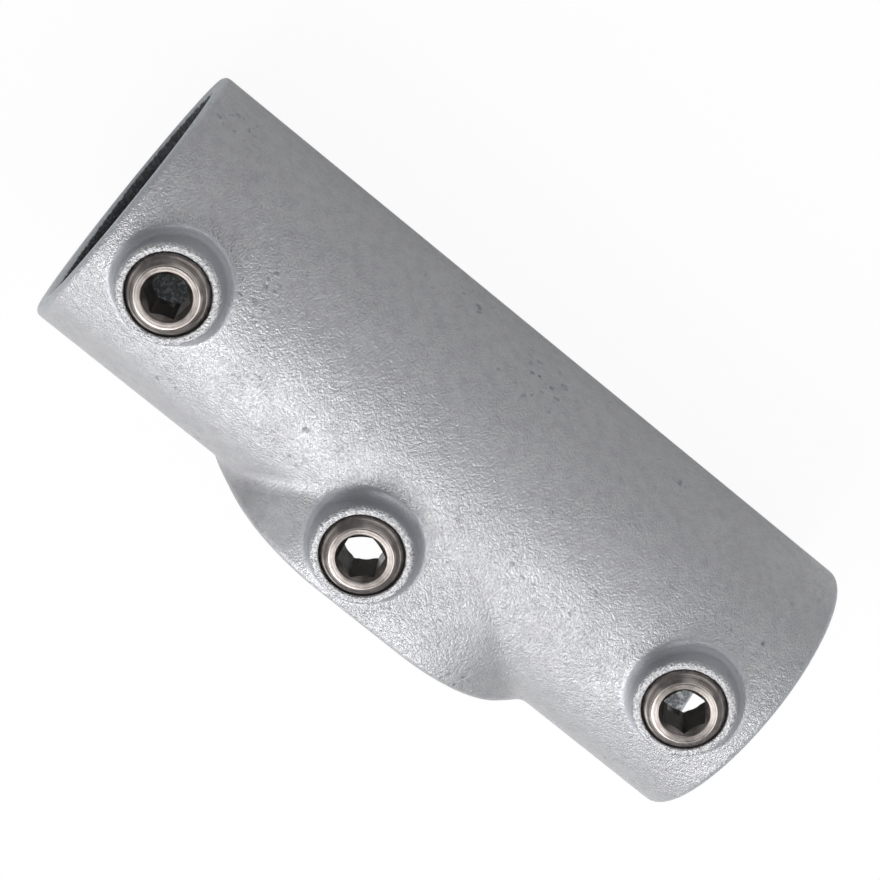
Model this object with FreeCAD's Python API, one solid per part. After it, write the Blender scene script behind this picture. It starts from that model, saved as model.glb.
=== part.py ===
# Three-socket tube clamp tee: two rail tubes meet in a straight sleeve, and an upright enters its short slotted outlet.
# The rail axis is X, the outlet opens towards -Y and the grub screws point up, towards +Z.
# The origin is where the rail axis meets the axis of an upright that stands square to the rails.
# All lengths are in millimetres.

import FreeCAD, Part
import math
import os
from FreeCAD import Vector

# Tube that the fitting grips, and the play round it
TUBE_DIAMETER = 48.3
RAIL_PLAY = 0.45
UPRIGHT_PLAY = 0.35

# Rail sleeve: the shift is how far its middle lies towards the side that the upright leans to
SLEEVE_LENGTH = 159.0
SLEEVE_WALL = 5.0
SLEEVE_SHIFT = 4.1
END_ROUND = 1.4
MOUTH_ROUND = 2.0

# Outlet for the upright: the sway is how far its two end arcs stand apart
# The round between it and the sleeve grows from the junction size at its ends to the shoulder size at its flat sides
OUTLET_SWAY = 20.3
OUTLET_INSET = 0.9
OUTLET_STAND_OUT = 0.6
OUTLET_JUNCTION_ROUND = 2.9
OUTLET_SHOULDER_ROUND = 6.0
OUTLET_RIM_ROUND = 1.7
OUTLET_LIP_ROUND = 0.9

# Screw bosses: the middle one stands between the rail axis and the rim, a little towards the lean
END_BOSS_FROM_MOUTH = 15.8
MIDDLE_BOSS_FROM_RIM = 13.7
MIDDLE_BOSS_LEAN = 0.7
BOSS_HEIGHT = 4.9
BOSS_LIP_WIDTH = 1.8
BOSS_EDGE_ROUND = 0.9
BOSS_ENTRY_ROUND = 0.3
BOSS_DRAFT = 0.1
BOSS_FOOT_ROUND = 3.0

# Grub screw with a hexagon socket that opens into the hollow of its cupped tip
SCREW_DIAMETER = 16.66
SCREW_PLAY = 0.06
SCREW_LENGTH = 11.2
SCREW_TIP_GAP = 0.3
CROWN_HEIGHT = 1.4
CROWN_SHOULDER_WIDTH = 0.7
CROWN_SHOULDER_HEIGHT = 0.9
CROWN_LAND_WIDTH = 1.2
HEX_ACROSS_FLATS = 8.0
COUNTERSINK_WIDTH = 0.42
COUNTERSINK_SLOPE = 1.3
TIP_CHAMFER_HEIGHT = 1.3
TIP_CHAMFER_WIDTH = 2.5
CUP_BEVEL_WIDTH = 1.6
CUP_BEVEL_HEIGHT = 0.5
CUP_DEPTH = 3.4

# Turn of each hexagon about its screw, in degrees
HEX_TURNS = {"left": 24.0, "middle": 41.0, "right": 10.0}
HEX_SIDES = 6

# Cutting tools run past what they cut by this much, and two places this near to each other are the same
CUT_MARGIN = 1.0
SAME_PLACE = 0.001

# Sizes that follow from the ones above
BORE_RADIUS = TUBE_DIAMETER / 2 + RAIL_PLAY
SLEEVE_RADIUS = BORE_RADIUS + SLEEVE_WALL
SLEEVE_START = SLEEVE_SHIFT - SLEEVE_LENGTH / 2
SLEEVE_END = SLEEVE_SHIFT + SLEEVE_LENGTH / 2
SOCKET_HALF_WIDTH = TUBE_DIAMETER / 2 + UPRIGHT_PLAY
OUTLET_HALF_WIDTH = SLEEVE_RADIUS - OUTLET_INSET
RIM_DISTANCE = SLEEVE_RADIUS + OUTLET_STAND_OUT
BOSS_TOP = SLEEVE_RADIUS + BOSS_HEIGHT
SCREW_RADIUS = SCREW_DIAMETER / 2
SCREW_HOLE_RADIUS = SCREW_RADIUS + SCREW_PLAY
BOSS_LIP_RADIUS = SCREW_HOLE_RADIUS + BOSS_LIP_WIDTH
BOSS_SIDE_TOP = BOSS_TOP - BOSS_EDGE_ROUND
BOSS_ROOT = BORE_RADIUS / 2
HEX_CORNER_RADIUS = HEX_ACROSS_FLATS / math.sqrt(3)
COUNTERSINK_RADIUS = HEX_CORNER_RADIUS + COUNTERSINK_WIDTH
TIP_RADIUS = SCREW_RADIUS - TIP_CHAMFER_WIDTH
CUP_RADIUS = TIP_RADIUS - CUP_BEVEL_WIDTH
RAIL_AXIS = Vector(1, 0, 0)
SCREW_AXIS = Vector(0, 0, 1)

# Place of each screw axis, and the height of the wall face that its tip must clear
BOSSES = {
    "left": (Vector(SLEEVE_START + END_BOSS_FROM_MOUTH, 0, 0), BORE_RADIUS),
    "middle": (Vector(MIDDLE_BOSS_LEAN, MIDDLE_BOSS_FROM_RIM - RIM_DISTANCE, 0), SOCKET_HALF_WIDTH),
    "right": (Vector(SLEEVE_END - END_BOSS_FROM_MOUTH, 0, 0), BORE_RADIUS),
}


def closed_wire(start, steps):
    """Wire from a start point through steps: a point ends a line, a pair is the middle and end of an arc."""
    edges = []
    last = start
    for step in steps + [start]:
        if isinstance(step, tuple):
            edges.append(Part.Arc(last, step[0], step[1]).toShape())
            last = step[1]
        elif last.distanceToPoint(step) > SAME_PLACE:
            edges.append(Part.makeLine(last, step))
            last = step
    return Part.Wire(edges)


def turned(start, steps, axis):
    """Solid turned about an axis through the origin from half of its section."""
    face = Part.Face(closed_wire(start, steps))
    return face.revolve(Vector(0, 0, 0), axis, 360)


def beside_rail(along, out):
    """Point of a section that is turned about the rail axis."""
    return Vector(along, out, 0)


def beside_screw(out, up):
    """Point of a section that is turned about a screw axis."""
    return Vector(out, 0, up)


def round_corner(place, along, out, radius, first, last):
    """Middle and end of an arc that rounds a corner, from its centre and its two angles in degrees."""
    points = []
    for angle in ((first + last) / 2, last):
        turn = math.radians(angle)
        points.append(place(along + radius * math.cos(turn), out + radius * math.sin(turn)))
    return tuple(points)


def sleeve_outside():
    """Outside of the rail sleeve, with rounded end edges."""
    side = SLEEVE_RADIUS - END_ROUND
    start = SLEEVE_START + END_ROUND
    end = SLEEVE_END - END_ROUND
    steps = [
        beside_rail(SLEEVE_START, side),
        round_corner(beside_rail, start, side, END_ROUND, 180, 90),
        beside_rail(end, SLEEVE_RADIUS),
        round_corner(beside_rail, end, side, END_ROUND, 90, 0),
        beside_rail(SLEEVE_END, 0),
    ]
    return turned(beside_rail(SLEEVE_START, 0), steps, RAIL_AXIS)


def rail_bore():
    """Room for the rails, with rounded mouths: a stretch for each rail and the one that the outlet opens into."""
    side = BORE_RADIUS + MOUTH_ROUND
    start = SLEEVE_START + MOUTH_ROUND
    end = SLEEVE_END - MOUTH_ROUND
    steps = [
        beside_rail(SLEEVE_START - CUT_MARGIN, side),
        beside_rail(SLEEVE_START, side),
        round_corner(beside_rail, start, side, MOUTH_ROUND, 180, 270),
        beside_rail(-SOCKET_HALF_WIDTH, BORE_RADIUS),
        beside_rail(OUTLET_SWAY + SOCKET_HALF_WIDTH, BORE_RADIUS),
        beside_rail(end, BORE_RADIUS),
        round_corner(beside_rail, end, side, MOUTH_ROUND, 270, 360),
        beside_rail(SLEEVE_END + CUT_MARGIN, side),
        beside_rail(SLEEVE_END + CUT_MARGIN, 0),
    ]
    return turned(beside_rail(SLEEVE_START - CUT_MARGIN, 0), steps, RAIL_AXIS)


def slot_prism(half_width, depth):
    """Prism of slotted section that runs from the rail axis towards -Y."""
    steps = [
        Vector(OUTLET_SWAY, 0, -half_width),
        (Vector(OUTLET_SWAY + half_width, 0, 0), Vector(OUTLET_SWAY, 0, half_width)),
        Vector(0, 0, half_width),
        (Vector(-half_width, 0, 0), Vector(0, 0, -half_width)),
    ]
    face = Part.Face(closed_wire(Vector(0, 0, -half_width), steps))
    return face.extrude(Vector(0, -depth, 0))


def off_rail_axis(point):
    """Distance of a point from the rail axis."""
    return math.hypot(point.y, point.z)


def off_slot_line(point):
    """Distance of a point, seen along Y, from the line between the outlet's two arc centres."""
    along = max(-point.x, point.x - OUTLET_SWAY, 0)
    return math.hypot(along, point.z)


def spread_points(edge):
    """Five points spread evenly along an edge."""
    first, last = edge.ParameterRange
    return [edge.valueAt(first + (last - first) * share) for share in (0, 0.25, 0.5, 0.75, 1)]


def on_junction(edge):
    """Whether an edge lies where the outlet's side meets the outside of the sleeve."""
    points = spread_points(edge)
    on_sleeve = all(abs(off_rail_axis(point) - SLEEVE_RADIUS) < SAME_PLACE for point in points)
    on_outlet = all(abs(off_slot_line(point) - OUTLET_HALF_WIDTH) < SAME_PLACE for point in points)
    return on_sleeve and on_outlet


def boss_side_radius(height):
    """Radius of a boss's drafted side at a height above the rail axis."""
    return BOSS_LIP_RADIUS + BOSS_DRAFT * (BOSS_SIDE_TOP - height)


def on_boss_foot(edge, place):
    """Whether an edge runs along a boss's drafted side, below its rounded top edge."""
    for point in spread_points(edge):
        out = math.hypot(point.x - place.x, point.y - place.y)
        if abs(out - boss_side_radius(point.z)) > SAME_PLACE:
            return False
        if not BOSS_ROOT + SAME_PLACE < point.z < BOSS_SIDE_TOP - SAME_PLACE:
            return False
    return True


def rim_faces(shape):
    """Flat faces of a shape that lie in the plane of the outlet rim."""
    faces = [face for face in shape.Faces if isinstance(face.Surface, Part.Plane)]
    return [face for face in faces if abs(face.BoundBox.YMax + RIM_DISTANCE) < SAME_PLACE]


def boss_solid():
    """Screw boss with a flat lip and drafted side, from its root inside the sleeve's room to its top."""
    shoulder = BOSS_LIP_RADIUS - BOSS_EDGE_ROUND
    steps = [
        beside_screw(boss_side_radius(BOSS_ROOT), BOSS_ROOT),
        beside_screw(BOSS_LIP_RADIUS, BOSS_SIDE_TOP),
        round_corner(beside_screw, shoulder, BOSS_SIDE_TOP, BOSS_EDGE_ROUND, 0, 90),
        beside_screw(0, BOSS_TOP),
    ]
    return turned(beside_screw(0, BOSS_ROOT), steps, SCREW_AXIS)


def screw_hole():
    """Room for a grub screw, with a rounded entry at the boss lip."""
    entry = SCREW_HOLE_RADIUS + BOSS_ENTRY_ROUND
    entry_height = BOSS_TOP - BOSS_ENTRY_ROUND
    steps = [
        beside_screw(SCREW_HOLE_RADIUS, 0),
        beside_screw(SCREW_HOLE_RADIUS, entry_height),
        round_corner(beside_screw, entry, entry_height, BOSS_ENTRY_ROUND, 180, 90),
        beside_screw(entry, BOSS_TOP + CUT_MARGIN),
        beside_screw(0, BOSS_TOP + CUT_MARGIN),
    ]
    return turned(beside_screw(0, 0), steps, SCREW_AXIS)


def outlet_quarter():
    """Quarter of the tall outlet on its stretch of sleeve, blended by a round that grows towards the flat side."""
    middle = OUTLET_SWAY / 2
    reach = middle + OUTLET_HALF_WIDTH + 2 * OUTLET_JUNCTION_ROUND
    depth = 2 * SLEEVE_RADIUS
    stretch = Part.makeCylinder(SLEEVE_RADIUS, reach, Vector(middle - reach, 0, 0), RAIL_AXIS)
    kept = Part.makeBox(reach, 2 * depth, depth, Vector(middle - reach, -depth - CUT_MARGIN, 0))
    quarter = stretch.fuse(slot_prism(OUTLET_HALF_WIDTH, depth)).common(kept)
    for edge in quarter.Edges:
        heights = [point.z for point in spread_points(edge)]
        if on_junction(edge) and min(heights) < SAME_PLACE:
            rounds = [OUTLET_JUNCTION_ROUND, OUTLET_SHOULDER_ROUND]
            if heights[0] > heights[-1]:
                rounds.reverse()
            return quarter.makeFillet(rounds[0], rounds[1], [edge])


def sleeve_with_outlet():
    """Outside of the sleeve with the tall outlet blended into it, mirrored from one quarter."""
    middle = Vector(OUTLET_SWAY / 2, 0, 0)
    outlet = outlet_quarter()
    outlet = outlet.fuse(outlet.mirror(middle, SCREW_AXIS))
    outlet = outlet.fuse(outlet.mirror(middle, RAIL_AXIS))
    return sleeve_outside().fuse(outlet).removeSplitter()


def cut_to_rim(body):
    """Body without what stands beyond the outlet rim, its outer rim edge rounded."""
    span = 2 * (SLEEVE_LENGTH + SLEEVE_RADIUS)
    beyond = Part.makeBox(span, span, span, Vector(-span / 2, -RIM_DISTANCE - span, -span / 2))
    body = body.cut(beyond)
    outline = [edge for face in rim_faces(body) for edge in face.OuterWire.Edges]
    return body.makeFillet(OUTLET_RIM_ROUND, outline)


def add_bosses(body):
    """Body with the screw bosses, each blended into what it stands on by its foot round."""
    places = [place for place, _ in BOSSES.values()]
    for place in places:
        body = body.fuse(boss_solid().translated(place))
    feet = [edge for edge in body.Edges if any(on_boss_foot(edge, place) for place in places)]
    return body.makeFillet(BOSS_FOOT_ROUND, feet)


def cut_upright_socket(body):
    """Body with the slotted socket for the upright, its mouth at the rim rounded."""
    body = body.cut(slot_prism(SOCKET_HALF_WIDTH, RIM_DISTANCE + CUT_MARGIN))
    mouth = [edge for face in rim_faces(body) for wire in face.Wires[1:] for edge in wire.Edges]
    return body.makeFillet(OUTLET_LIP_ROUND, mouth)


def fitting_body():
    """The casting: the blended outside with its bosses, less the socket, the rail bore and the screw holes."""
    body = sleeve_with_outlet()
    body = cut_to_rim(body)
    body = add_bosses(body)
    body = cut_upright_socket(body)
    body = body.cut(rail_bore())
    for place, _ in BOSSES.values():
        body = body.cut(screw_hole().translated(place))
    return body


def hexagon_room(height, turn):
    """Hexagon prism about the screw axis that runs up from the rail axis."""
    corners = []
    for side in range(HEX_SIDES + 1):
        angle = math.radians(turn + side * 360 / HEX_SIDES)
        corners.append(beside_rail(HEX_CORNER_RADIUS * math.cos(angle), HEX_CORNER_RADIUS * math.sin(angle)))
    return Part.Face(Part.makePolygon(corners)).extrude(Vector(0, 0, height))


def grub_screw(wall_face, hex_turn):
    """Grub screw about the screw axis, its cupped tip just clear of the tube's room and a crown at its top."""
    tip = wall_face + SCREW_TIP_GAP
    top = tip + SCREW_LENGTH
    shoulder = top - CROWN_HEIGHT
    socket_radius = HEX_ACROSS_FLATS / 2
    cone_foot = top - (COUNTERSINK_RADIUS - socket_radius) * COUNTERSINK_SLOPE
    steps = [
        beside_screw(COUNTERSINK_RADIUS + CROWN_LAND_WIDTH, top),
        beside_screw(SCREW_RADIUS - CROWN_SHOULDER_WIDTH, shoulder),
        beside_screw(SCREW_RADIUS, shoulder - CROWN_SHOULDER_HEIGHT),
        beside_screw(SCREW_RADIUS, tip + TIP_CHAMFER_HEIGHT),
        beside_screw(TIP_RADIUS, tip),
        beside_screw(CUP_RADIUS, tip + CUP_BEVEL_HEIGHT),
        beside_screw(CUP_RADIUS, tip + CUP_DEPTH),
        beside_screw(0, tip + CUP_DEPTH),
        beside_screw(0, cone_foot),
        beside_screw(socket_radius, cone_foot),
    ]
    screw = turned(beside_screw(COUNTERSINK_RADIUS, top), steps, SCREW_AXIS)
    return screw.cut(hexagon_room(top + CUT_MARGIN, hex_turn))


def main():
    """Write each piece to its own file."""
    os.makedirs("parts", exist_ok=True)
    pieces = {"fitting_body": fitting_body()}
    for side, (place, wall_face) in BOSSES.items():
        pieces["grub_screw_" + side] = grub_screw(wall_face, HEX_TURNS[side]).translated(place)
    for name, shape in pieces.items():
        shape.exportStep("parts/" + name + ".step")
        print(name, "valid", shape.isValid(), "solids", len(shape.Solids), "mm3", round(shape.Volume, 1))


main()
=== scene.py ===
"""Looks of a three-socket tube clamp tee in galvanised cast iron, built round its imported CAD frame.

Two rail tubes enter the straight sleeve along X, an upright enters the slotted outlet from -Y, and three
grub screws point up, towards +Z. The casting keeps its CAD node and gets its zinc skin here. Each grub screw
is made again with its real thread, turned crown and hexagon socket. Lengths are in metres in the CAD frame,
and in millimetres where a name or a class says so.
"""

import logging
import math
from dataclasses import dataclass, field
from enum import Enum
from typing import Any

import bpy
import numpy as np
from mathutils import Matrix, Vector

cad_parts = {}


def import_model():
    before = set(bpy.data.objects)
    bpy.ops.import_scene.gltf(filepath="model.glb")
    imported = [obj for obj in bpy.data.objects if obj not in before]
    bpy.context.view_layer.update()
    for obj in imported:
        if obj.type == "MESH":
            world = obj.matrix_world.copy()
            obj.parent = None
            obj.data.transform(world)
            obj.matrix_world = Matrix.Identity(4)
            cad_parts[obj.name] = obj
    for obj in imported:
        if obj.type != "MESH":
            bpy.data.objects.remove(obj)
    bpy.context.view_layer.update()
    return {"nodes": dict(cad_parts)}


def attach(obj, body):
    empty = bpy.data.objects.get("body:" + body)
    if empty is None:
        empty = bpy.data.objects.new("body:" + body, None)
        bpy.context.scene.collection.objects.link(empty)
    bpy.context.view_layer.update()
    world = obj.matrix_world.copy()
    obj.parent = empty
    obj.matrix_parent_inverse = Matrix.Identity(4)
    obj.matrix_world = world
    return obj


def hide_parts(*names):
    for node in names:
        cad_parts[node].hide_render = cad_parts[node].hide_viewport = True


LOG = logging.getLogger("tube_clamp_tee")
MM = 0.001
TURN = 2 * math.pi
Colour = tuple[float, float, float, float]
Output = bpy.types.NodeSocket
Span = tuple[float, float]
Stops = list[tuple[float, Colour]]

# Numbers of the sockets that a Mix node uses for colours: other sockets have the same names.
MIX_UNDER = 6
MIX_OVER = 7
MIX_COLOUR = 2


class Place(Enum):
    """Where a grub screw sits in the casting."""

    LEFT = "left"
    MIDDLE = "middle"
    RIGHT = "right"


# X and Y of each screw's axis, in millimetres.
SCREW_AXES_MM = {Place.LEFT: (-59.6, 0.0), Place.MIDDLE: (0.7, -16.5), Place.RIGHT: (67.8, 0.0)}


class Coat(Enum):
    """Colours of the finishes, as sRGB hex values."""

    ZINC = "#A9A9AB"
    ZINC_DULL = "#A0A0A3"
    ZINC_FRESH = "#BCBCBD"
    ZINC_GREY = "#8C8C8F"
    # Painted highlight on the rounded edge at each end of the sleeve.
    ZINC_RIM_HIGHLIGHT = "#AEB1B5"
    # Bluish zinc of the cones, partly painted light: set to lift the shade on their upper sides.
    ZINC_SKIRT_PAINTED_LIGHT = "#A5A6AB"
    PIT = "#808185"
    # Inside walls' scale mottle: both colours are painted light, paler than the zinc, to lighten the shaded
    # bore.
    INSIDE = "#DCDDDC"
    INSIDE_PAINTED_LIGHT_DARK = "#8E9294"
    # Painted shade: the inside walls darken towards the left mouth.
    INSIDE_PAINTED_SHADE = "#2E3235"
    STEEL = "#918B87"
    STEEL_BROWN = "#7D7672"
    # Painted highlight: a bright line on the land's outer edge.
    STEEL_EDGE_HIGHLIGHT = "#D6CFC9"
    # Painted shade round the threads' outer edge, where the screw sits in its hole.
    STEEL_GAP_SHADE = "#5E5853"
    # Painted shade in the hexagon socket and the cup.
    STEEL_SOCKET_SHADE = "#4A423C"
    FLOOR = "#E1E1E1"


def linear(code: Coat) -> Colour:
    """Turn a coat's sRGB hex colour to linear light.

    Args:
        code: The coat.

    Returns:
        Red, green, blue and alpha in linear light.
    """
    parts = [int(code.value[start : start + 2], 16) / 255 for start in (1, 3, 5)]
    light = [part / 12.92 if part <= 0.04045 else ((part + 0.055) / 1.055) ** 2.4 for part in parts]
    return light[0], light[1], light[2], 1.0


def add_node(
    tree: bpy.types.NodeTree,
    kind: str,
    inputs: dict[str | int, Any] | None = None,
    give: str | int = 0,
    stops: Stops | None = None,
    **settings: Any,
) -> Any:
    """Add a node with its settings, values and links.

    Args:
        tree: Node tree that gets the node.
        kind: Blender's type name of the node.
        inputs: Value or linked output for each named or numbered input.
        give: Name or number of the output that the caller links on.
        stops: Places and colours of a colour ramp, from low to high.
        **settings: Values for the node's own properties.

    Returns:
        The chosen output, or nothing for a node that has none.
    """
    node = tree.nodes.new(kind)
    for name, value in settings.items():
        setattr(node, name, value)
    for key, value in (inputs or {}).items():
        if isinstance(value, bpy.types.NodeSocket):
            tree.links.new(value, node.inputs[key])
        else:
            node.inputs[key].default_value = value
    for number, (place, colour) in enumerate(stops or []):
        ramp = node.color_ramp.elements
        stop = ramp[number] if number < 2 else ramp.new(place)
        stop.position = place
        stop.color = colour
    return node.outputs[give] if node.outputs else None


def new_material(name: str) -> tuple[bpy.types.Material, bpy.types.NodeTree]:
    """Start an empty node material.

    Args:
        name: Name of the real finish.

    Returns:
        The material and its node tree.
    """
    material = bpy.data.materials.new(name)
    material.use_nodes = True
    material.node_tree.nodes.clear()
    return material, material.node_tree


@dataclass(frozen=True)
class GalvanisedIron:
    """Sand-cast iron dipped in molten zinc: a satin silver skin over the mould's fine pebble grain.

    The eye gets a soft, broad sheen that the grain breaks into sparkles, scattered dark pits with a patch of
    them on the side away from the outlet, smoother zinc on the cones round the screws, whose bluish colour is
    partly painted light, and on the neck left of the outlet, coarse bright zinc on the boss lips, a painted
    highlight on the edge of each mouth, and rough inside walls that are painted lighter than their shade and
    darken with painted shade towards the left mouth. The real grit is finer than the picture can show, so
    grit_mm is as coarse as it needs to be seen.
    """

    name: str = "hot_dip_galvanised_cast_iron"
    metallic: float = 0.7
    grit_levels: Span = (0.35, 0.65)
    grit_roughness: Span = (0.28, 0.56)
    inside_roughness: float = 0.7

    # Grain of the skin: widths and heights of its pebbles, grit and slow waves, and its turn in radians.
    pebble_mm: float = 1.15
    pebble_height_mm: float = 0.08
    grit_mm: float = 0.5
    grit_height_mm: float = 0.32
    wave_mm: float = 13.0
    wave_height_mm: float = 0.09
    grain_turn: tuple[float, float, float] = (0.6, 0.5, 0.8)

    # How strong the grain is: on the waves, on the cones, on the neck, and added on the lips and inside.
    wave_levels: Span = (0.42, 0.56)
    wave_grain: Span = (0.85, 1.1)
    skirt_grain: float = 0.25
    neck_grain: float = 0.15
    rough_grain: float = 0.7
    neck_x_mm: Span = (2.0, -12.0)
    neck_y_mm: Span = (-12.0, -24.0)

    # Pits: a bent grid of dots, kept where a slow noise is high and in one patch.
    pit_spacing_mm: float = 2.1
    pit_depth_mm: float = 0.10
    pit_bend_mm: float = 1.6
    pit_bend_width_mm: float = 1.4
    pit_edge: Span = (0.35, 0.12)
    pitted_width_mm: float = 11.0
    pitted_levels: Span = (0.6, 0.7)
    pitted_spot_mm: tuple[float, float, float] = (8.9, 26.7, 12.9)
    pitted_spot_radius_mm: Span = (10.0, 3.0)

    # Boss lips, told by their height above the rail axis, and cones, told by their distance from a screw.
    lip_from_mm: float = 34.5
    lip_to_mm: float = 35.0
    lip_ragged_mm: float = 1.4
    lip_levels: Span = (0.4, 0.6)
    skirt_radius_mm: float = 12.9
    skirt_soft_mm: float = 1.0
    skirt_lowest_mm: float = 12.9

    # Inside walls, and the bare band that goes a little way in from each mouth.
    bore_radius_mm: float = 24.6
    socket_half_width_mm: float = 24.5
    socket_skin_mm: float = 0.25
    outlet_sway_mm: float = 20.3
    sleeve_middle_mm: float = 4.1
    sleeve_length_mm: float = 159.0
    mouth_round_mm: float = 2.0
    rim_band_mm: float = 0.35
    rim_band_soft_mm: float = 0.25
    rim_band_slope: float = 0.035
    rim_band_grows_mm: float = -7.0
    ragged_mm: float = 0.9
    ragged_width_mm: float = 1.1

    # Colour: width of tone changes, painted highlight at the mouths' edges, inside scale painted light,
    # painted shade by the left mouth.
    tone_mm: float = 2.2
    tone_levels: Span = (0.3, 0.6)
    rim_highlight_from_end_mm: Span = (1.3, 0.6)
    scale_mm: float = 0.8
    scale_levels: Span = (0.47, 0.64)
    painted_shade_mm: Span = (-46.0, -62.0)
    painted_shade_patchy_mm: float = 12.0
    painted_shade_cover: float = 0.88

    def material(self) -> bpy.types.Material:
        """Make the casting's material.

        Returns:
            The new material.
        """
        material, tree = new_material(self.name)
        place = add_node(tree, "ShaderNodeTexCoord", give="Object")
        inside = self._inside(tree, place)
        lip = self._lip(tree, place)
        pits = self._pits(tree, place)
        skirt = self._skirt(tree, place)
        height = self._height(tree, place, pits, self._strength(tree, place, inside, lip, skirt))
        colour = self._colour(tree, place, inside, lip, pits, skirt)
        sheen = add_node(
            tree,
            "ShaderNodeMapRange",
            {
                "Value": self._grit(tree, place),
                "From Min": self.grit_levels[0],
                "From Max": self.grit_levels[1],
                "To Min": self.grit_roughness[0],
                "To Max": self.grit_roughness[1],
            },
        )
        rough = add_node(
            tree, "ShaderNodeMapRange", {"Value": inside, "To Min": sheen, "To Max": self.inside_roughness}
        )
        bump = add_node(tree, "ShaderNodeBump", {"Strength": 1.0, "Distance": MM, "Height": height})
        skin = add_node(
            tree,
            "ShaderNodeBsdfPrincipled",
            {"Base Color": colour, "Metallic": self.metallic, "Roughness": rough, "Normal": bump},
        )
        add_node(tree, "ShaderNodeOutputMaterial", {"Surface": skin})
        return material

    def _inside(self, tree: bpy.types.NodeTree, place: Output) -> Output:
        """Mask of the walls that the tubes cover.

        A place is inside where its distance from the rail axis is below the bore's radius with its round
        mouth, or where, on the outlet's side, its distance, seen along Y, from the line between the outlet's
        two arc centres is below the socket's half width. The mask leaves out a narrow, ragged band at each
        mouth. From rim_band_grows_mm on, the band widens towards -Y by its slope.

        Args:
            tree: Node tree of the material.
            place: Object coordinates.

        Returns:
            Output that is one inside and zero on the outer skin.
        """
        x = add_node(tree, "ShaderNodeSeparateXYZ", {"Vector": place}, "X")
        y = add_node(tree, "ShaderNodeSeparateXYZ", {"Vector": place}, "Y")
        across = add_node(tree, "ShaderNodeVectorMath", {0: place, 1: (0.0, 1.0, 1.0)}, operation="MULTIPLY")
        off_axis = add_node(tree, "ShaderNodeVectorMath", {0: across}, "Value", operation="LENGTH")
        bore = (self.bore_radius_mm + self.mouth_round_mm) * MM
        in_bore = add_node(tree, "ShaderNodeMath", {0: off_axis, 1: bore}, operation="LESS_THAN")
        nearest = add_node(
            tree, "ShaderNodeClamp", {"Value": x, "Min": 0.0, "Max": self.outlet_sway_mm * MM}
        )
        nearest = add_node(tree, "ShaderNodeCombineXYZ", {"X": nearest, "Y": y})
        off_slot = add_node(
            tree, "ShaderNodeVectorMath", {0: place, 1: nearest}, "Value", operation="DISTANCE"
        )
        half = (self.socket_half_width_mm + self.socket_skin_mm) * MM
        in_slot = add_node(tree, "ShaderNodeMath", {0: off_slot, 1: half}, operation="LESS_THAN")
        outlet_side = add_node(tree, "ShaderNodeMath", {0: y, 1: 0.0}, operation="LESS_THAN")
        in_socket = add_node(tree, "ShaderNodeMath", {0: in_slot, 1: outlet_side}, operation="MULTIPLY")
        inner = add_node(tree, "ShaderNodeMath", {0: in_bore, 1: in_socket}, operation="MAXIMUM")
        below = add_node(
            tree, "ShaderNodeMath", {0: self.rim_band_grows_mm * MM, 1: y}, operation="SUBTRACT"
        )
        below = add_node(tree, "ShaderNodeMath", {0: below, 1: 0.0}, operation="MAXIMUM")
        along = add_node(
            tree,
            "ShaderNodeMath",
            {0: below, 1: self.rim_band_slope, 2: self._off_middle(tree, x)},
            operation="MULTIPLY_ADD",
        )
        ragged = add_node(
            tree,
            "ShaderNodeTexNoise",
            {"Vector": place, "Scale": 1 / (self.ragged_width_mm * MM), "Detail": 3.0},
        )
        along = add_node(
            tree, "ShaderNodeMath", {0: ragged, 1: self.ragged_mm * MM, 2: along}, operation="MULTIPLY_ADD"
        )
        edge = self.sleeve_length_mm / 2 - self.rim_band_mm + self.ragged_mm / 2
        past_band = add_node(
            tree,
            "ShaderNodeMapRange",
            {"Value": along, "From Min": edge * MM, "From Max": (edge - self.rim_band_soft_mm) * MM},
        )
        return add_node(tree, "ShaderNodeMath", {0: inner, 1: past_band}, operation="MULTIPLY")

    def _off_middle(self, tree: bpy.types.NodeTree, x: Output) -> Output:
        """Distance along the rail axis from the middle of the sleeve."""
        signed = add_node(tree, "ShaderNodeMath", {0: x, 1: self.sleeve_middle_mm * MM}, operation="SUBTRACT")
        return add_node(tree, "ShaderNodeMath", {0: signed}, operation="ABSOLUTE")

    def _lip(self, tree: bpy.types.NodeTree, place: Output) -> Output:
        """Mask of the boss lips, which are all that reaches their height.

        The grit is added to the height before it is compared, so the mask's edge is ragged.

        Args:
            tree: Node tree of the material.
            place: Object coordinates.

        Returns:
            Output that rises from zero below the lips to one on them.
        """
        z = add_node(tree, "ShaderNodeSeparateXYZ", {"Vector": place}, "Z")
        ragged = add_node(
            tree,
            "ShaderNodeMath",
            {0: self._grit(tree, place), 1: self.lip_ragged_mm * MM, 2: z},
            operation="MULTIPLY_ADD",
        )
        return add_node(
            tree,
            "ShaderNodeMapRange",
            {"Value": ragged, "From Min": self.lip_from_mm * MM, "From Max": self.lip_to_mm * MM},
            interpolation_type="SMOOTHSTEP",
        )

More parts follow.
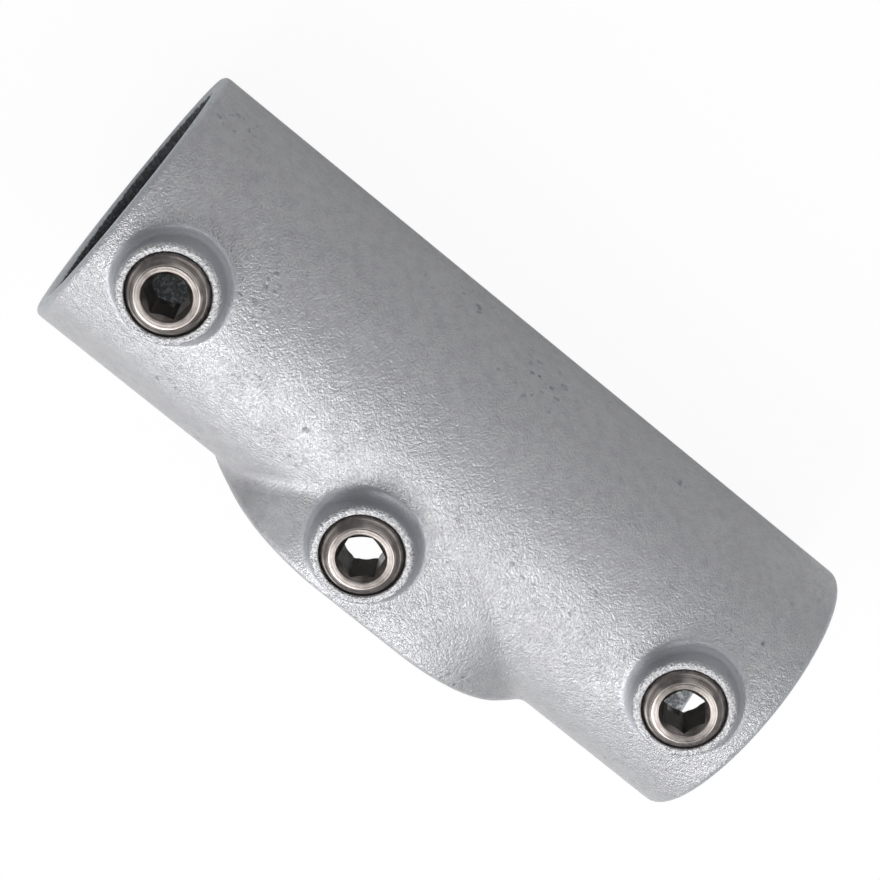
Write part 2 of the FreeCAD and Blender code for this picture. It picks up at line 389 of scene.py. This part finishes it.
    def _pits(self, tree: bpy.types.NodeTree, place: Output) -> Output:
        """Mask of small pits that the mould's sand left, gathered in patches.

        Args:
            tree: Node tree of the material.
            place: Object coordinates.

        Returns:
            Output that is one in the pits.
        """
        warp = add_node(
            tree,
            "ShaderNodeTexNoise",
            {"Vector": place, "Scale": 1 / (self.pit_bend_width_mm * MM), "Detail": 0.0},
            "Color",
        )
        bend = (self.pit_bend_mm * MM,) * 3
        bent = add_node(
            tree, "ShaderNodeVectorMath", {0: warp, 1: bend, 2: place}, operation="MULTIPLY_ADD"
        )
        near = add_node(
            tree, "ShaderNodeTexVoronoi", {"Vector": bent, "Scale": 1 / (self.pit_spacing_mm * MM)}
        )
        dots = add_node(
            tree,
            "ShaderNodeMapRange",
            {"Value": near, "From Min": self.pit_edge[0], "From Max": self.pit_edge[1]},
            interpolation_type="SMOOTHSTEP",
        )
        slow = add_node(
            tree, "ShaderNodeTexNoise", {"Vector": place, "Scale": 1 / (self.pitted_width_mm * MM)}
        )
        patches = add_node(
            tree,
            "ShaderNodeMapRange",
            {"Value": slow, "From Min": self.pitted_levels[0], "From Max": self.pitted_levels[1]},
            interpolation_type="SMOOTHSTEP",
        )
        centre = tuple(value * MM for value in self.pitted_spot_mm)
        away = add_node(tree, "ShaderNodeVectorMath", {0: place, 1: centre}, "Value", operation="DISTANCE")
        outer, inner = self.pitted_spot_radius_mm
        spot = add_node(
            tree, "ShaderNodeMapRange", {"Value": away, "From Min": outer * MM, "From Max": inner * MM}
        )
        patches = add_node(tree, "ShaderNodeMath", {0: patches, 1: spot}, operation="MAXIMUM")
        return add_node(tree, "ShaderNodeMath", {0: dots, 1: patches}, operation="MULTIPLY")

    def _turned(self, tree: bpy.types.NodeTree, place: Output) -> Output:
        """Object coordinates turned out of line with the tubes, so that the noise's own grid doesn't show."""
        return add_node(tree, "ShaderNodeMapping", {"Vector": place, "Rotation": self.grain_turn})

    def _grit(self, tree: bpy.types.NodeTree, place: Output) -> Output:
        """Finest grain of the skin, from about half a millimetre down to what the picture can show.

        Args:
            tree: Node tree of the material.
            place: Object coordinates.

        Returns:
            Output with the grit, from zero to one.
        """
        turned = self._turned(tree, place)
        inputs = {"Vector": turned, "Scale": 1 / (self.grit_mm * MM), "Detail": 1.5, "Roughness": 0.8}
        return add_node(tree, "ShaderNodeTexNoise", inputs)

    def _skirt(self, tree: bpy.types.NodeTree, place: Output) -> Output:
        """Mask of the smooth cones round the grub screws, where the distance from a screw's axis is small.

        Args:
            tree: Node tree of the material.
            place: Object coordinates.

        Returns:
            Output that is one on the three cones, seen from above, and fades out past their feet.
        """
        x = add_node(tree, "ShaderNodeSeparateXYZ", {"Vector": place}, "X")
        y = add_node(tree, "ShaderNodeSeparateXYZ", {"Vector": place}, "Y")
        z = add_node(tree, "ShaderNodeSeparateXYZ", {"Vector": place}, "Z")
        flat = add_node(tree, "ShaderNodeCombineXYZ", {"X": x, "Y": y})
        nearest: Any = self.sleeve_length_mm * MM
        for axis_x, axis_y in SCREW_AXES_MM.values():
            axis = (axis_x * MM, axis_y * MM, 0.0)
            away = add_node(tree, "ShaderNodeVectorMath", {0: flat, 1: axis}, "Value", operation="DISTANCE")
            nearest = add_node(tree, "ShaderNodeMath", {0: away, 1: nearest}, operation="MINIMUM")
        foot = self.skirt_radius_mm
        near = add_node(
            tree,
            "ShaderNodeMapRange",
            {"Value": nearest, "From Min": foot * MM, "From Max": (foot - self.skirt_soft_mm) * MM},
        )
        lowest = self.skirt_lowest_mm * MM
        above = add_node(tree, "ShaderNodeMath", {0: z, 1: lowest}, operation="GREATER_THAN")
        return add_node(tree, "ShaderNodeMath", {0: near, 1: above}, operation="MULTIPLY")

    def _neck(self, tree: bpy.types.NodeTree, place: Output) -> Output:
        """Mask of the neck: the skin left of the middle boss, down to the outlet's rim and along the sleeve.

        Args:
            tree: Node tree of the material.
            place: Object coordinates.

        Returns:
            Output that rises to one away from the boss and down the side.
        """
        mask: Any = 1.0
        for axis, (start, end) in (("X", self.neck_x_mm), ("Y", self.neck_y_mm)):
            along = add_node(tree, "ShaderNodeSeparateXYZ", {"Vector": place}, axis)
            share = add_node(
                tree, "ShaderNodeMapRange", {"Value": along, "From Min": start * MM, "From Max": end * MM}
            )
            mask = add_node(tree, "ShaderNodeMath", {0: share, 1: mask}, operation="MULTIPLY")
        return mask

    def _waves(self, tree: bpy.types.NodeTree, place: Output) -> Output:
        """Slow swell of the cast skin.

        Args:
            tree: Node tree of the material.
            place: Object coordinates.

        Returns:
            Output with the swell, from zero to one.
        """
        turned = self._turned(tree, place)
        inputs = {"Vector": turned, "Scale": 1 / (self.wave_mm * MM), "Detail": 2.5, "Roughness": 0.42}
        return add_node(tree, "ShaderNodeTexNoise", inputs)

    def _strength(
        self, tree: bpy.types.NodeTree, place: Output, inside: Output, lip: Output, skirt: Output
    ) -> Output:
        """Strength of the grain: more on the swells, lips and inside walls, less on the cones and the neck.

        Args:
            tree: Node tree of the material.
            place: Object coordinates.
            inside: Mask of the covered walls.
            lip: Mask of the boss lips.
            skirt: Mask of the boss cones.

        Returns:
            Output that multiplies the grain's height.
        """
        amount = add_node(
            tree,
            "ShaderNodeMapRange",
            {
                "Value": self._waves(tree, place),
                "From Min": self.wave_levels[0],
                "From Max": self.wave_levels[1],
                "To Min": self.wave_grain[0],
                "To Max": self.wave_grain[1],
            },
        )
        for mask, least in ((skirt, self.skirt_grain), (self._neck(tree, place), self.neck_grain)):
            smoother = add_node(tree, "ShaderNodeMapRange", {"Value": mask, "To Min": 1.0, "To Max": least})
            amount = add_node(tree, "ShaderNodeMath", {0: amount, 1: smoother}, operation="MULTIPLY")
        rougher = add_node(tree, "ShaderNodeMath", {0: inside, 1: lip}, operation="MAXIMUM")
        return add_node(
            tree, "ShaderNodeMath", {0: rougher, 1: self.rough_grain, 2: amount}, operation="MULTIPLY_ADD"
        )

    def _height(self, tree: bpy.types.NodeTree, place: Output, pits: Output, strength: Output) -> Output:
        """Height of the skin in millimetres: the grain at its strength on the slow waves, less the pits.

        The grain is the grit's height less the fall of each pebble, which grows as the square of the distance
        from its middle.

        Args:
            tree: Node tree of the material.
            place: Object coordinates.
            pits: Mask of the pits.
            strength: How strong the grain is.

        Returns:
            Output with the height.
        """
        turned = self._turned(tree, place)
        cells = add_node(
            tree, "ShaderNodeTexVoronoi", {"Vector": turned, "Scale": 1 / (self.pebble_mm * MM)}
        )
        pebbles = add_node(tree, "ShaderNodeMath", {0: cells, 1: cells}, operation="MULTIPLY")
        inputs = {0: pebbles, 1: -self.pebble_height_mm}
        grain = add_node(tree, "ShaderNodeMath", inputs, operation="MULTIPLY")
        inputs = {0: self._grit(tree, place), 1: self.grit_height_mm, 2: grain}
        grain = add_node(tree, "ShaderNodeMath", inputs, operation="MULTIPLY_ADD")
        inputs = {0: self._waves(tree, place), 1: self.wave_height_mm}
        swell = add_node(tree, "ShaderNodeMath", inputs, operation="MULTIPLY")
        inputs = {0: grain, 1: strength, 2: swell}
        height = add_node(tree, "ShaderNodeMath", inputs, operation="MULTIPLY_ADD")
        inputs = {0: pits, 1: -self.pit_depth_mm, 2: height}
        return add_node(tree, "ShaderNodeMath", inputs, operation="MULTIPLY_ADD")

    def _colour(
        self,
        tree: bpy.types.NodeTree,
        place: Output,
        inside: Output,
        lip: Output,
        pits: Output,
        skirt: Output,
    ) -> Output:
        """Colour of the skin: zinc with faint tone changes, bluish on the cones as partly painted light,
        bright on lips, a painted highlight on the mouths' rims, dull in pits, and inside walls painted
        lighter than their shade, with painted shade towards the left mouth.

        Args:
            tree: Node tree of the material.
            place: Object coordinates.
            inside: Mask of the covered walls.
            lip: Mask of the boss lips.
            pits: Mask of the pits.
            skirt: Mask of the boss cones.

        Returns:
            Output with the colour.
        """
        turned = self._turned(tree, place)
        tone = add_node(
            tree, "ShaderNodeTexNoise", {"Vector": turned, "Scale": 1 / (self.tone_mm * MM), "Detail": 3.0}
        )
        scale = add_node(
            tree, "ShaderNodeTexNoise", {"Vector": place, "Scale": 1 / (self.scale_mm * MM), "Detail": 3.0}
        )
        grounds = []
        for shade, levels, dark, bright in (
            (tone, self.tone_levels, Coat.ZINC_DULL, Coat.ZINC),
            (self._grit(tree, place), self.lip_levels, Coat.ZINC_GREY, Coat.ZINC_FRESH),
            (scale, self.scale_levels, Coat.INSIDE_PAINTED_LIGHT_DARK, Coat.INSIDE),
        ):
            stops = [(levels[0], linear(dark)), (levels[1], linear(bright))]
            grounds.append(add_node(tree, "ShaderNodeValToRGB", {"Fac": shade}, stops=stops))
        zinc, flakes, walls = grounds
        x = add_node(tree, "ShaderNodeSeparateXYZ", {"Vector": place}, "X")
        # Painted highlight: lighter zinc over the last 1.3 mm at each end of the sleeve.
        highlight_from, highlight_to = (self.sleeve_length_mm / 2 - off_end for off_end in self.rim_highlight_from_end_mm)
        rim_highlight = add_node(
            tree,
            "ShaderNodeMapRange",
            {"Value": self._off_middle(tree, x), "From Min": highlight_from * MM, "From Max": highlight_to * MM},
        )
        # Painted shade on the inside walls, growing towards the left mouth along X with a ragged edge.
        patchy = add_node(
            tree, "ShaderNodeMath", {0: tone, 1: self.painted_shade_patchy_mm * MM, 2: x}, operation="MULTIPLY_ADD"
        )
        painted_shade = add_node(
            tree,
            "ShaderNodeMapRange",
            {
                "Value": patchy,
                "From Min": self.painted_shade_mm[0] * MM,
                "From Max": self.painted_shade_mm[1] * MM,
                "To Max": self.painted_shade_cover,
            },
        )
        inputs = {"Factor": painted_shade, MIX_UNDER: walls, MIX_OVER: linear(Coat.INSIDE_PAINTED_SHADE)}
        walls = add_node(tree, "ShaderNodeMix", inputs, MIX_COLOUR, data_type="RGBA")
        colour = zinc
        for mask, coat in (
            # Cones: bluish zinc, partly painted light lifting their shaded upper sides.
            (skirt, linear(Coat.ZINC_SKIRT_PAINTED_LIGHT)),
            (lip, flakes),
            # Painted highlight on the mouths' edges.
            (rim_highlight, linear(Coat.ZINC_RIM_HIGHLIGHT)),
            (pits, linear(Coat.PIT)),
            # Inside walls: scale mottle painted lighter, with painted shade towards the left mouth.
            (inside, walls),
        ):
            inputs = {"Factor": mask, MIX_UNDER: colour, MIX_OVER: coat}
            colour = add_node(tree, "ShaderNodeMix", inputs, MIX_COLOUR, data_type="RGBA")
        return colour


@dataclass(frozen=True)
class TurnedSteel:
    """Case-hardened steel turned on a lathe: a warm grey whose fine rings catch the light.

    The eye gets bright arcs on the crown, browner steel between them, a painted highlight as a bright line
    where the land bends down to the crown, and painted shade as dark steel in the socket and round the
    threads' outer edge, where the screw sits in its hole. The real turning marks are finer than the picture
    can show, so fine_ring_mm is as coarse as it needs to be seen.
    """

    name: str = "turned_case_hardened_steel"
    roughness: Span = (0.22, 0.4)
    fine_ring_mm: float = 0.14
    broad_ring_mm: float = 0.5
    broad_ring_height: float = 2.5
    ring_height_mm: float = 0.045
    wear_mm: float = 1.8
    wear_levels: Span = (0.38, 0.62)
    gap_shade_mm: Span = (8.1, 8.3)
    land_edge_mm: float = 6.25
    land_edge_width_mm: Span = (0.14, 0.042)

    def material(self) -> bpy.types.Material:
        """Make the grub screws' material.

        Returns:
            The new material.
        """
        material, tree = new_material(self.name)
        place = add_node(tree, "ShaderNodeTexCoord", give="Object")
        out = add_node(tree, "ShaderNodeAttribute", give="Fac", attribute_name="from_screw_axis")
        socket = add_node(tree, "ShaderNodeAttribute", give="Fac", attribute_name="in_socket")
        wear = add_node(
            tree, "ShaderNodeTexNoise", {"Vector": place, "Scale": 1 / (self.wear_mm * MM), "Detail": 4.0}
        )
        bump = add_node(
            tree,
            "ShaderNodeBump",
            {"Strength": 1.0, "Distance": self.ring_height_mm * MM, "Height": self._rings(tree, out)},
        )
        rough = add_node(
            tree,
            "ShaderNodeMapRange",
            {"Value": wear, "To Min": self.roughness[0], "To Max": self.roughness[1]},
        )
        metal = add_node(
            tree,
            "ShaderNodeBsdfPrincipled",
            {
                "Base Color": self._colour(tree, wear, out, socket),
                "Metallic": 1.0,
                "Roughness": rough,
                "Normal": bump,
            },
        )
        add_node(tree, "ShaderNodeOutputMaterial", {"Surface": metal})
        return material

    def _rings(self, tree: bpy.types.NodeTree, out: Output) -> Output:
        """Height of the turning marks: a fine and a broad noise of the distance from the axis alone.

        Args:
            tree: Node tree of the material.
            out: Distance from the screw's axis.

        Returns:
            Output with the height, as a share of the rings' own.
        """
        rings = add_node(
            tree, "ShaderNodeMath", {0: out, 1: 1 / (self.fine_ring_mm * MM)}, operation="MULTIPLY"
        )
        fine = add_node(
            tree, "ShaderNodeTexNoise", {"W": rings, "Scale": 1.0, "Detail": 1.0}, noise_dimensions="1D"
        )
        share = self.fine_ring_mm / self.broad_ring_mm
        broad = add_node(
            tree, "ShaderNodeTexNoise", {"W": rings, "Scale": share, "Detail": 0.0}, noise_dimensions="1D"
        )
        return add_node(
            tree, "ShaderNodeMath", {0: broad, 1: self.broad_ring_height, 2: fine}, operation="MULTIPLY_ADD"
        )

    def _colour(self, tree: bpy.types.NodeTree, wear: Output, out: Output, socket: Output) -> Output:
        """Colour of the steel: brown to grey with wear, then the painted highlight on the land's edge, and
        painted shade round the outer edge and in the socket.

        Args:
            tree: Node tree of the material.
            wear: Noise of the wear.
            out: Distance from the screw's axis.
            socket: Mask of the socket's walls.

        Returns:
            Output with the colour.
        """
        low, high = self.wear_levels
        steel = add_node(
            tree,
            "ShaderNodeValToRGB",
            {"Fac": wear},
            stops=[(low, linear(Coat.STEEL_BROWN)), (high, linear(Coat.STEEL))],
        )
        off_edge = add_node(tree, "ShaderNodeMath", {0: out, 1: self.land_edge_mm * MM}, operation="SUBTRACT")
        off_edge = add_node(tree, "ShaderNodeMath", {0: off_edge}, operation="ABSOLUTE")
        masks = []
        for distance, (start, end) in ((off_edge, self.land_edge_width_mm), (out, self.gap_shade_mm)):
            inputs = {"Value": distance, "From Min": start * MM, "From Max": end * MM}
            masks.append(add_node(tree, "ShaderNodeMapRange", inputs))
        # Painted highlight on the land's edge, then painted shade round the outer edge and in the socket.
        coats = (Coat.STEEL_EDGE_HIGHLIGHT, Coat.STEEL_GAP_SHADE, Coat.STEEL_SOCKET_SHADE)
        for mask, coat in zip([*masks, socket], coats):
            inputs = {"Factor": mask, MIX_UNDER: steel, MIX_OVER: linear(coat)}
            steel = add_node(tree, "ShaderNodeMix", inputs, MIX_COLOUR, data_type="RGBA")
        return steel


@dataclass
class Casting:
    """The cast sleeve, outlet and bosses, which keep their CAD node."""

    node: str = "fitting_body"
    finish: GalvanisedIron = field(default_factory=GalvanisedIron)

    def dress(self, nodes: dict[str, bpy.types.Object]) -> bpy.types.Object:
        """Give the CAD node its zinc skin.

        Args:
            nodes: The frame's CAD nodes by name.

        Returns:
            The dressed node.
        """
        casting = nodes[self.node]
        material = self.finish.material()
        for slot in casting.material_slots:
            slot.material = material
        return casting


@dataclass
class GrubScrew:
    """Grub screw with a full thread, a turned crown, a hexagon socket and a hollow cup at its tip.

    Sizes are in millimetres about the screw's own axis, and heights run up from its tip.
    """

    place: Place
    tip: float
    hex_turn: float
    radius: float = 8.33
    length: float = 11.2
    crown_height: float = 1.4
    shoulder_width: float = 0.7
    shoulder_height: float = 0.9
    land_width: float = 1.2
    across_flats: float = 8.0
    countersink_width: float = 0.42
    countersink_slope: float = 1.3
    tip_chamfer_height: float = 1.3
    tip_chamfer_width: float = 2.5
    cup_bevel_width: float = 1.6
    cup_bevel_height: float = 0.5
    cup_depth: float = 3.4
    ledge: float = 0.02
    thread_pitch: float = 1.337
    thread_depth: float = 0.856
    thread_run_out: float = 1.2
    thread_flank: float = 0.8
    edge_round: float = 0.12
    edge_points: int = 5
    sharp_turn: float = 28.0
    columns: int = 216
    countersink_rows: tuple[float, ...] = (0.25, 0.5, 0.75, 1.0)
    wall_rows: tuple[float, ...] = (0.02, 0.3, 0.6, 1.0)

    @property
    def rim(self) -> float:
        """Radius at which the countersink meets the land."""
        return self.across_flats / math.sqrt(3) + self.countersink_width

    def _outer_section(self) -> np.ndarray:
        """Work out the outer section, from the tip's edge to the land.

        Each corner becomes a short arc: a quadratic blend of the corner and the two points that lie one
        rounding radius before and after it. The straight run between two corners is divided evenly, about one
        point each tenth of the pitch.

        Returns:
            Array of points: distance from the axis and height.
        """
        shoulder = self.length - self.crown_height
        points = np.array(
            [
                (self.radius - self.tip_chamfer_width, 0.0),
                (self.radius, self.tip_chamfer_height),
                (self.radius, shoulder - self.shoulder_height),
                (self.radius - self.shoulder_width, shoulder),
                (self.rim + self.land_width, self.length),
                (self.rim, self.length),
            ]
        )
        along = np.diff(points, axis=0)
        step = along / np.linalg.norm(along, axis=1, keepdims=True) * self.edge_round
        share = np.linspace(0, 1, self.edge_points)[:, None]
        rows = [points[:1]]
        for corner, before, after in zip(points[1:-1], step[:-1], step[1:]):
            blend = (corner - before) * (1 - share) ** 2 + (corner + after) * share**2
            blend += corner * 2 * share * (1 - share)
            rows += [self._run(rows[-1][-1], blend[0]), blend]
        rows += [self._run(rows[-1][-1], points[-1]), points[-1:]]
        return np.vstack(rows)

    def _run(self, start: np.ndarray, end: np.ndarray) -> np.ndarray:
        """Points between two ends of a straight run, about one each tenth of the thread's pitch."""
        steps = max(2, int(round(float(np.linalg.norm(end - start)) / (self.thread_pitch / 10))))
        return start + (end - start) * np.linspace(0, 1, steps + 1)[1:-1, None]

    def _threaded(self, angle: np.ndarray) -> tuple[np.ndarray, np.ndarray]:
        """Carry the outer section round the axis and cut the thread.

        The distance from the axis is the smaller of the section's and the thread's. The thread's depth is a
        power of half of one less the cosine of its phase, which is the height over the pitch less the share
        of a turn, and it runs out under the crown.

        Args:
            angle: Angle of each column.

        Returns:
            Distances from the axis and heights, as rows by columns.
        """
        section = self._outer_section()
        height = np.repeat(section[:, 1:], self.columns, axis=1)
        phase = (height + self.tip) / self.thread_pitch - angle / TURN
        shaft = self.length - self.crown_height - self.shoulder_height
        full = np.clip((shaft - height) / self.thread_run_out, 0, 1)
        wave = (0.5 - 0.5 * np.cos(TURN * phase)) ** self.thread_flank
        return np.minimum(section[:, :1], self.radius - self.thread_depth * full * wave), height

    def _surface(self) -> tuple[np.ndarray, np.ndarray, np.ndarray]:
        """Close the threaded outside with the countersink, the hexagon and the cup.

        The hexagon's distance from the axis is half the width across flats over the cosine of the angle from
        the middle of the nearest flat. The countersink falls by its slope times how far it lies inside the
        rim, so it meets each flat in a scallop. Below the hexagon the cup is as wide as its own radius or the
        hexagon, whichever is more, and its bevel falls to the tip's edge.

        Returns:
            Points as rows by columns by three, distances from the axis, and a mask of the socket's walls.
        """
        turn = math.radians(self.hex_turn)
        angle = turn + TURN * np.arange(self.columns) / self.columns
        out, height = self._threaded(angle)
        hexagon = self.across_flats / 2 / np.cos(np.mod(angle - turn, TURN / 6) - TURN / 12)
        share = np.array(self.countersink_rows)[:, None]
        cone_out = self.rim + (hexagon - self.rim) * share
        cone_height = self.length - (self.rim - cone_out) * self.countersink_slope
        share = np.array(self.wall_rows)[:, None]
        wall_height = cone_height[-1] + (self.cup_depth - cone_height[-1]) * share
        wall_out = np.repeat(hexagon[None, :], len(share), axis=0)
        tip_edge = self.radius - self.tip_chamfer_width
        cup = tip_edge - self.cup_bevel_width
        cup_out = np.repeat(np.maximum(hexagon + self.ledge, cup)[None, :], 2, axis=0)
        bevel = self.cup_bevel_height * (tip_edge - cup_out[1]) / self.cup_bevel_width
        cup_height = np.stack([np.full(self.columns, self.cup_depth), bevel])
        socket = np.zeros((len(out) + len(cone_out), self.columns))
        socket = np.vstack([socket, np.ones(wall_out.shape), np.ones(cup_out.shape)])
        out = np.vstack([out, cone_out, wall_out, cup_out])
        height = np.vstack([height, cone_height, wall_height, cup_height])
        axis_x, axis_y = SCREW_AXES_MM[self.place]
        x = axis_x + out * np.cos(angle)
        y = axis_y + out * np.sin(angle)
        return np.stack([x, y, height + self.tip], axis=-1) * MM, out * MM, socket

    def build(self) -> bpy.types.Object:
        """Make the screw's closed mesh.

        Returns:
            The new object, at the origin.
        """
        points, out, socket = self._surface()
        rows, columns = points.shape[:2]
        index = np.arange(rows * columns).reshape(rows, columns)
        up = np.roll(index, -1, axis=0)
        beside = np.roll(index, -1, axis=1)
        both = np.roll(up, -1, axis=1)
        faces = np.stack([index, beside, both, up], axis=-1).reshape(-1, 4)
        mesh = bpy.data.meshes.new(f"grub_screw_{self.place.value}_turned")
        mesh.vertices.add(rows * columns)
        mesh.vertices.foreach_set("co", points.reshape(-1))
        mesh.loops.add(faces.size)
        mesh.loops.foreach_set("vertex_index", faces.reshape(-1))
        mesh.polygons.add(len(faces))
        mesh.polygons.foreach_set("loop_start", np.arange(0, faces.size, 4))
        mesh.polygons.foreach_set("use_smooth", np.ones(len(faces), dtype=bool))
        for name, values in (("from_screw_axis", out), ("in_socket", socket)):
            attribute = mesh.attributes.new(name, "FLOAT", "POINT")
            attribute.data.foreach_set("value", values.reshape(-1).astype(np.float32))
        mesh.update(calc_edges=True)
        mesh.validate()
        mesh.set_sharp_from_angle(angle=math.radians(self.sharp_turn))
        piece = bpy.data.objects.new(mesh.name, mesh)
        bpy.context.scene.collection.objects.link(piece)
        return piece

    def dress(self, piece: bpy.types.Object, material: bpy.types.Material) -> None:
        """Give the screw its finish and let it stand for its CAD node on its body.

        Args:
            piece: The screw's object.
            material: The screw steel.
        """
        piece.data.materials.append(material)
        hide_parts(f"grub_screw_{self.place.value}")
        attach(piece, f"screw_{self.place.value}")


@dataclass(frozen=True)
class Lamp:
    """Rectangular soft lamp that faces the fitting, its long side level where it can be.

    Sizes and distances are in metres, and the direction is from the fitting towards the lamp.
    """

    name: str
    direction: tuple[float, float, float]
    wide: float
    tall: float
    watts: float
    away: float = 0.9

    def hang(self) -> None:
        """Put the lamp into the scene."""
        data = bpy.data.lights.new(self.name, "AREA")
        data.shape = "RECTANGLE"
        data.size = self.wide
        data.size_y = self.tall
        data.energy = self.watts
        lamp = bpy.data.objects.new(self.name, data)
        bpy.context.scene.collection.objects.link(lamp)
        back = Vector(self.direction).normalized()
        along = (Vector((1.0, 0.0, 0.0)) - back * back.x).normalized()
        turned = Matrix((along, back.cross(along), back)).transposed()
        lamp.matrix_world = Matrix.Translation(back * self.away) @ turned.to_4x4()


@dataclass
class Studio:
    """Plain pale floor, soft lamps and the photograph's camera.

    The camera's axes, its place in metres, its focal length and the point that it faces, both in pixels of
    the photograph's frame, were fitted to the outline of the real fitting.
    """

    floor_height: float = -29.6 * MM
    floor_half: float = 6.0
    floor_glow: float = 0.94
    floor_glow_in_metal: float = 0.06
    white: Colour = (1.0, 1.0, 1.0, 1.0)
    room_light: Colour = (0.93, 0.95, 1.0, 1.0)
    room_strength: float = 0.2
    white_in_metal: float = 0.05
    camera_place: tuple[float, float, float] = (-0.1050, 0.1913, 0.6112)
    camera_right: tuple[float, float, float] = (0.7672, 0.6382, -0.0640)
    camera_up: tuple[float, float, float] = (-0.6184, 0.7097, -0.3375)
    camera_back: tuple[float, float, float] = (-0.1700, 0.2985, 0.9391)
    camera_reach: Span = (0.01, 50.0)
    sensor_mm: float = 36.0
    focal_pixels: float = 3260.9
    frame_pixels: float = 880.0
    centre_pixels: Span = (438.4, 460.8)
    lamps: tuple[Lamp, ...] = (
        Lamp("key_over_outlet", (0.08, -0.62, 0.78), 0.6, 0.55, 6.8),
        Lamp("low_by_outlet", (-0.1, -0.95, 0.31), 0.6, 0.3, 2.0),
        Lamp("side_left", (-0.8, -0.55, 0.6), 0.7, 0.5, 1.2),
        Lamp("side_right", (0.8, 0.05, 1.0), 0.7, 0.6, 3.3),
        Lamp("fill_behind", (0.0, 0.82, 0.57), 1.2, 0.35, 2.1),
    )

    def _seen(self, tree: bpy.types.NodeTree, in_metal: float) -> Output:
        """Share of the plain white that a ray sees: all for the camera and through glass, some in metal.

        Args:
            tree: Node tree of the floor or the room.
            in_metal: Share that reflections see.

        Returns:
            Output with the share.
        """
        camera = add_node(tree, "ShaderNodeLightPath", give="Is Camera Ray")
        glass = add_node(tree, "ShaderNodeLightPath", give="Is Transmission Ray")
        metal = add_node(tree, "ShaderNodeLightPath", give="Is Glossy Ray")
        metal = add_node(tree, "ShaderNodeMath", {0: metal, 1: in_metal}, operation="MULTIPLY")
        seen = add_node(tree, "ShaderNodeMath", {0: camera, 1: glass}, operation="MAXIMUM")
        return add_node(tree, "ShaderNodeMath", {0: seen, 1: metal}, operation="MAXIMUM")

    def floor(self) -> None:
        """Lay the floor under the sleeve."""
        mesh = bpy.data.meshes.new("studio_floor")
        half = self.floor_half
        corners = np.array([(-half, -half), (half, -half), (half, half), (-half, half)])
        heights = np.full((4, 1), self.floor_height)
        mesh.from_pydata(np.hstack([corners, heights]).tolist(), [], [(0, 1, 2, 3)])
        floor = bpy.data.objects.new("studio_floor", mesh)
        bpy.context.scene.collection.objects.link(floor)
        material, tree = new_material("matt_white_studio_paper")
        share = add_node(
            tree,
            "ShaderNodeMath",
            {0: self._seen(tree, self.floor_glow_in_metal), 1: self.floor_glow},
            operation="MULTIPLY",
        )
        paper = add_node(tree, "ShaderNodeBsdfDiffuse", {"Color": linear(Coat.FLOOR)})
        glow = add_node(tree, "ShaderNodeEmission", {"Color": self.white, "Strength": 1.0})
        mixed = add_node(tree, "ShaderNodeMixShader", {0: share, 1: paper, 2: glow})
        add_node(tree, "ShaderNodeOutputMaterial", {"Surface": mixed})
        mesh.materials.append(material)

    def world(self) -> None:
        """Surround the set with an even pale room that looks white."""
        world = bpy.data.worlds.new("pale_room")
        bpy.context.scene.world = world
        world.use_nodes = True
        tree = world.node_tree
        tree.nodes.clear()
        room = add_node(
            tree, "ShaderNodeBackground", {"Color": self.room_light, "Strength": self.room_strength}
        )
        white = add_node(tree, "ShaderNodeBackground", {"Color": self.white, "Strength": 1.0})
        seen = self._seen(tree, self.white_in_metal)
        mixed = add_node(tree, "ShaderNodeMixShader", {0: seen, 1: room, 2: white})
        add_node(tree, "ShaderNodeOutputWorld", {"Surface": mixed})

    def camera(self) -> None:
        """Stand the camera where the photograph was taken from."""
        data = bpy.data.cameras.new("photo_camera")
        data.sensor_width = self.sensor_mm
        data.lens = self.focal_pixels * self.sensor_mm / self.frame_pixels
        data.shift_x = (self.frame_pixels / 2 - self.centre_pixels[0]) / self.frame_pixels
        data.shift_y = (self.centre_pixels[1] - self.frame_pixels / 2) / self.frame_pixels
        data.clip_start, data.clip_end = self.camera_reach
        camera = bpy.data.objects.new("photo_camera", data)
        bpy.context.scene.collection.objects.link(camera)
        axes = Matrix((self.camera_right, self.camera_up, self.camera_back)).transposed()
        camera.matrix_world = Matrix.Translation(Vector(self.camera_place)) @ axes.to_4x4()
        bpy.context.scene.camera = camera

    def build(self) -> None:
        """Set the whole studio up."""
        self.floor()
        self.world()
        for lamp in self.lamps:
            lamp.hang()
        self.camera()
        bpy.context.scene.view_settings.view_transform = "Standard"


def main() -> None:
    """Build the fitting's looks in order."""
    logging.basicConfig(level=logging.INFO, format="%(message)s")
    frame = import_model()
    casting = Casting().dress(frame["nodes"])
    LOG.info("dressed %s", casting.name)
    steel = TurnedSteel().material()
    screws = [
        GrubScrew(Place.LEFT, tip=24.9, hex_turn=24.0),
        GrubScrew(Place.MIDDLE, tip=24.8, hex_turn=41.0),
        GrubScrew(Place.RIGHT, tip=24.9, hex_turn=10.0),
    ]
    for screw in screws:
        piece = screw.build()
        screw.dress(piece, steel)
        LOG.info("built %s", piece.name)
    Studio().build()
    LOG.info("set up the studio")


if __name__ == "__main__":
    main()
